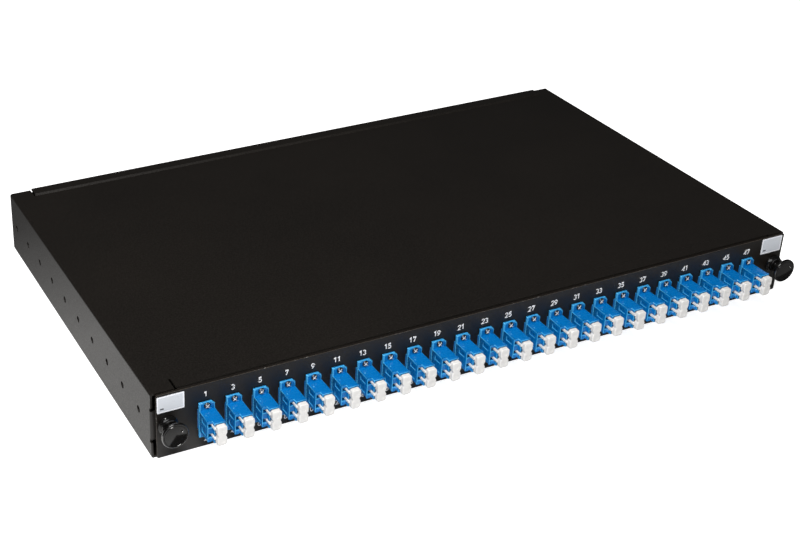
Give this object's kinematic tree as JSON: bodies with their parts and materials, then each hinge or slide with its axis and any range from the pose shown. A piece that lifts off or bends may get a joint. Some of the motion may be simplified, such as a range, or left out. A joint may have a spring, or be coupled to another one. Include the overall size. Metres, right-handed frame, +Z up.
{
  "type": "patch panel",
  "caption": "Black sheet-steel sliding fibre optic patch panel: sleeve, drawer with a row of blue duplex adapters under white dust caps, push latches, splice cassette and cable gland.",
  "frame": {"origin": "under the middle of the whole object's bounding box, at the height of the sleeve's underside", "axes": "+X to the right seen from the front, +Y towards the rear of the rack, +Z up; the front panel faces -Y"},
  "size_m": [0.4368, 0.2942, 0.043],
  "materials": {
    "powder_coat": "fine-textured black powder coat, semi-matt",
    "adapter_blue": "moulded blue plastic, satin",
    "cap_white": "milky white soft plastic, slightly translucent",
    "latch_black": "glossy black nylon",
    "cassette_grey": "matt moulded grey plastic",
    "cover_clear": "clear polycarbonate, faintly smoked",
    "gland_grey": "dark grey nylon"
  },
  "bodies": {
    "sleeve": {"outer_sleeve": "powder_coat", "rear_panel": "powder_coat", "gland_body": "gland_grey"},
    "gland_dome": {"gland_nut": "gland_grey"},
    "drawer": {"drawer_tray": "powder_coat", "front_panel": "powder_coat", "latch_left_grommet": "latch_black", "latch_right_grommet": "latch_black", "splice_cassette": "cassette_grey", "adapter_01": "adapter_blue", "adapter_02": "adapter_blue", "adapter_03": "adapter_blue", "adapter_04": "adapter_blue", "adapter_05": "adapter_blue", "adapter_06": "adapter_blue", "adapter_07": "adapter_blue", "adapter_08": "adapter_blue", "adapter_09": "adapter_blue", "adapter_10": "adapter_blue", "adapter_11": "adapter_blue", "adapter_12": "adapter_blue", "adapter_13": "adapter_blue", "adapter_14": "adapter_blue", "adapter_15": "adapter_blue", "adapter_16": "adapter_blue", "adapter_17": "adapter_blue", "adapter_18": "adapter_blue", "adapter_19": "adapter_blue", "adapter_20": "adapter_blue", "adapter_21": "adapter_blue", "adapter_22": "adapter_blue", "adapter_23": "adapter_blue", "adapter_24": "adapter_blue"},
    "latch_left": {"latch_left_plunger": "latch_black"},
    "latch_right": {"latch_right_plunger": "latch_black"},
    "cover": {"splice_cover": "cover_clear"},
    "cap_01": {"dust_cap_01": "cap_white"},
    "cap_02": {"dust_cap_02": "cap_white"},
    "cap_03": {"dust_cap_03": "cap_white"},
    "cap_04": {"dust_cap_04": "cap_white"},
    "cap_05": {"dust_cap_05": "cap_white"},
    "cap_06": {"dust_cap_06": "cap_white"},
    "cap_07": {"dust_cap_07": "cap_white"},
    "cap_08": {"dust_cap_08": "cap_white"},
    "cap_09": {"dust_cap_09": "cap_white"},
    "cap_10": {"dust_cap_10": "cap_white"},
    "cap_11": {"dust_cap_11": "cap_white"},
    "cap_12": {"dust_cap_12": "cap_white"},
    "cap_13": {"dust_cap_13": "cap_white"},
    "cap_14": {"dust_cap_14": "cap_white"},
    "cap_15": {"dust_cap_15": "cap_white"},
    "cap_16": {"dust_cap_16": "cap_white"},
    "cap_17": {"dust_cap_17": "cap_white"},
    "cap_18": {"dust_cap_18": "cap_white"},
    "cap_19": {"dust_cap_19": "cap_white"},
    "cap_20": {"dust_cap_20": "cap_white"},
    "cap_21": {"dust_cap_21": "cap_white"},
    "cap_22": {"dust_cap_22": "cap_white"},
    "cap_23": {"dust_cap_23": "cap_white"},
    "cap_24": {"dust_cap_24": "cap_white"}
  },
  "joints": [
    {"name": "cable_gland_turn", "type": "hinge", "parent": "sleeve", "child": "gland_dome", "pos_m": [0.15, 0.13435, 0.0205], "axis": [0, 1, 0], "continuous": true},
    {"name": "catch_left_pull", "type": "slide", "parent": "drawer", "child": "latch_left", "axis": [0, -1, 0], "range_m": [0, 0.006]},
    {"name": "catch_right_pull", "type": "slide", "parent": "drawer", "child": "latch_right", "axis": [0, -1, 0], "range_m": [0, 0.006]},
    {"name": "cover_lift", "type": "slide", "parent": "drawer", "child": "cover", "axis": [0, 0, 1], "range_m": [0, 0.02]},
    {"name": "drawer_slide", "type": "slide", "parent": "sleeve", "child": "drawer", "axis": [0, -1, 0], "range_m": [0, 0.225]},
    {"name": "dust_cap_01_pull", "type": "slide", "parent": "drawer", "child": "cap_01", "axis": [0, -1, 0], "range_m": [0, 0.015]},
    {"name": "dust_cap_02_pull", "type": "slide", "parent": "drawer", "child": "cap_02", "axis": [0, -1, 0], "range_m": [0, 0.015]},
    {"name": "dust_cap_03_pull", "type": "slide", "parent": "drawer", "child": "cap_03", "axis": [0, -1, 0], "range_m": [0, 0.015]},
    {"name": "dust_cap_04_pull", "type": "slide", "parent": "drawer", "child": "cap_04", "axis": [0, -1, 0], "range_m": [0, 0.015]},
    {"name": "dust_cap_05_pull", "type": "slide", "parent": "drawer", "child": "cap_05", "axis": [0, -1, 0], "range_m": [0, 0.015]},
    {"name": "dust_cap_06_pull", "type": "slide", "parent": "drawer", "child": "cap_06", "axis": [0, -1, 0], "range_m": [0, 0.015]},
    {"name": "dust_cap_07_pull", "type": "slide", "parent": "drawer", "child": "cap_07", "axis": [0, -1, 0], "range_m": [0, 0.015]},
    {"name": "dust_cap_08_pull", "type": "slide", "parent": "drawer", "child": "cap_08", "axis": [0, -1, 0], "range_m": [0, 0.015]},
    {"name": "dust_cap_09_pull", "type": "slide", "parent": "drawer", "child": "cap_09", "axis": [0, -1, 0], "range_m": [0, 0.015]},
    {"name": "dust_cap_10_pull", "type": "slide", "parent": "drawer", "child": "cap_10", "axis": [0, -1, 0], "range_m": [0, 0.015]},
    {"name": "dust_cap_11_pull", "type": "slide", "parent": "drawer", "child": "cap_11", "axis": [0, -1, 0], "range_m": [0, 0.015]},
    {"name": "dust_cap_12_pull", "type": "slide", "parent": "drawer", "child": "cap_12", "axis": [0, -1, 0], "range_m": [0, 0.015]},
    {"name": "dust_cap_13_pull", "type": "slide", "parent": "drawer", "child": "cap_13", "axis": [0, -1, 0], "range_m": [0, 0.015]},
    {"name": "dust_cap_14_pull", "type": "slide", "parent": "drawer", "child": "cap_14", "axis": [0, -1, 0], "range_m": [0, 0.015]},
    {"name": "dust_cap_15_pull", "type": "slide", "parent": "drawer", "child": "cap_15", "axis": [0, -1, 0], "range_m": [0, 0.015]},
    {"name": "dust_cap_16_pull", "type": "slide", "parent": "drawer", "child": "cap_16", "axis": [0, -1, 0], "range_m": [0, 0.015]},
    {"name": "dust_cap_17_pull", "type": "slide", "parent": "drawer", "child": "cap_17", "axis": [0, -1, 0], "range_m": [0, 0.015]},
    {"name": "dust_cap_18_pull", "type": "slide", "parent": "drawer", "child": "cap_18", "axis": [0, -1, 0], "range_m": [0, 0.015]},
    {"name": "dust_cap_19_pull", "type": "slide", "parent": "drawer", "child": "cap_19", "axis": [0, -1, 0], "range_m": [0, 0.015]},
    {"name": "dust_cap_20_pull", "type": "slide", "parent": "drawer", "child": "cap_20", "axis": [0, -1, 0], "range_m": [0, 0.015]},
    {"name": "dust_cap_21_pull", "type": "slide", "parent": "drawer", "child": "cap_21", "axis": [0, -1, 0], "range_m": [0, 0.015]},
    {"name": "dust_cap_22_pull", "type": "slide", "parent": "drawer", "child": "cap_22", "axis": [0, -1, 0], "range_m": [0, 0.015]},
    {"name": "dust_cap_23_pull", "type": "slide", "parent": "drawer", "child": "cap_23", "axis": [0, -1, 0], "range_m": [0, 0.015]},
    {"name": "dust_cap_24_pull", "type": "slide", "parent": "drawer", "child": "cap_24", "axis": [0, -1, 0], "range_m": [0, 0.015]}
  ]
}
